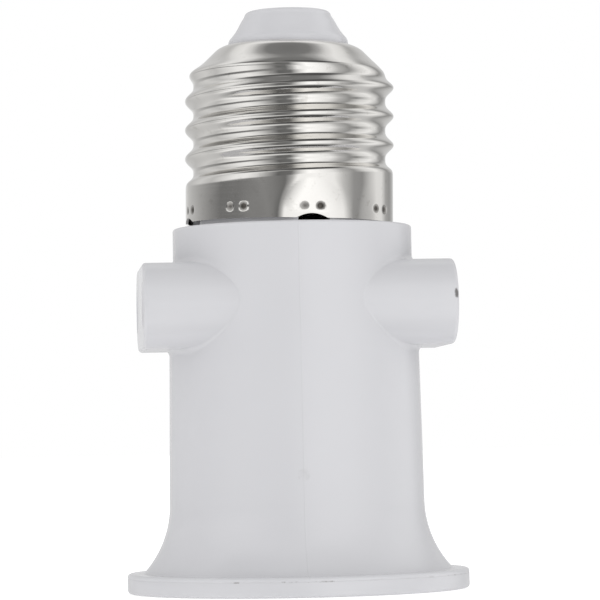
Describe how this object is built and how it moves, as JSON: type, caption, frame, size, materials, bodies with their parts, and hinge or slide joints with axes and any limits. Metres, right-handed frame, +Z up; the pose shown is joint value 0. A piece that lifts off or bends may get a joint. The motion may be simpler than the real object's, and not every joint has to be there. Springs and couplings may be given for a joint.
{
  "type": "lamp socket adapter",
  "caption": "Screw-cap lamp holder adapter with a threaded cap above, pin outlets on both sides and a threaded lamp socket inside the flared skirt.",
  "frame": {"origin": "centre of the rim's lower face, at the mouth of the lamp socket", "axes": "+Z up through the screw cap, X through the two outlets, -Y to the camera's side"},
  "size_m": [0.0426, 0.0426, 0.0725],
  "materials": {
    "white_plastic": "satin",
    "nickel_plate": "satin",
    "brass": "satin",
    "solder": "satin",
    "base_ceramic": "matte",
    "spring_bronze": "satin",
    "copper": "satin",
    "brown_insulation": "matte",
    "blue_insulation": "matte",
    "zinc_screw": "satin"
  },
  "bodies": {
    "adapter": {"housing": "white_plastic", "cap_shell": "nickel_plate", "cap_contact": "brass", "tip_solder": "solder", "socket_base": "base_ceramic", "lamp_shell": "nickel_plate", "live_contact_bar": "brass", "neutral_contact_bar": "brass", "live_rivet": "brass", "neutral_rivet": "brass", "live_core": "copper", "live_sleeve": "brown_insulation", "neutral_core": "copper", "neutral_sleeve": "blue_insulation", "base_screw_left": "zinc_screw", "base_screw_right": "zinc_screw"},
    "tongue": {"lamp_tongue": "spring_bronze"}
  },
  "joints": [
    {"name": "tongue_press", "type": "hinge", "parent": "adapter", "child": "tongue", "pos_m": [-0.0058, 0, 0.0274], "axis": [0, -1, 0], "range_deg": [0, 12], "stiffness_Nm_per_rad": 0.05}
  ]
}
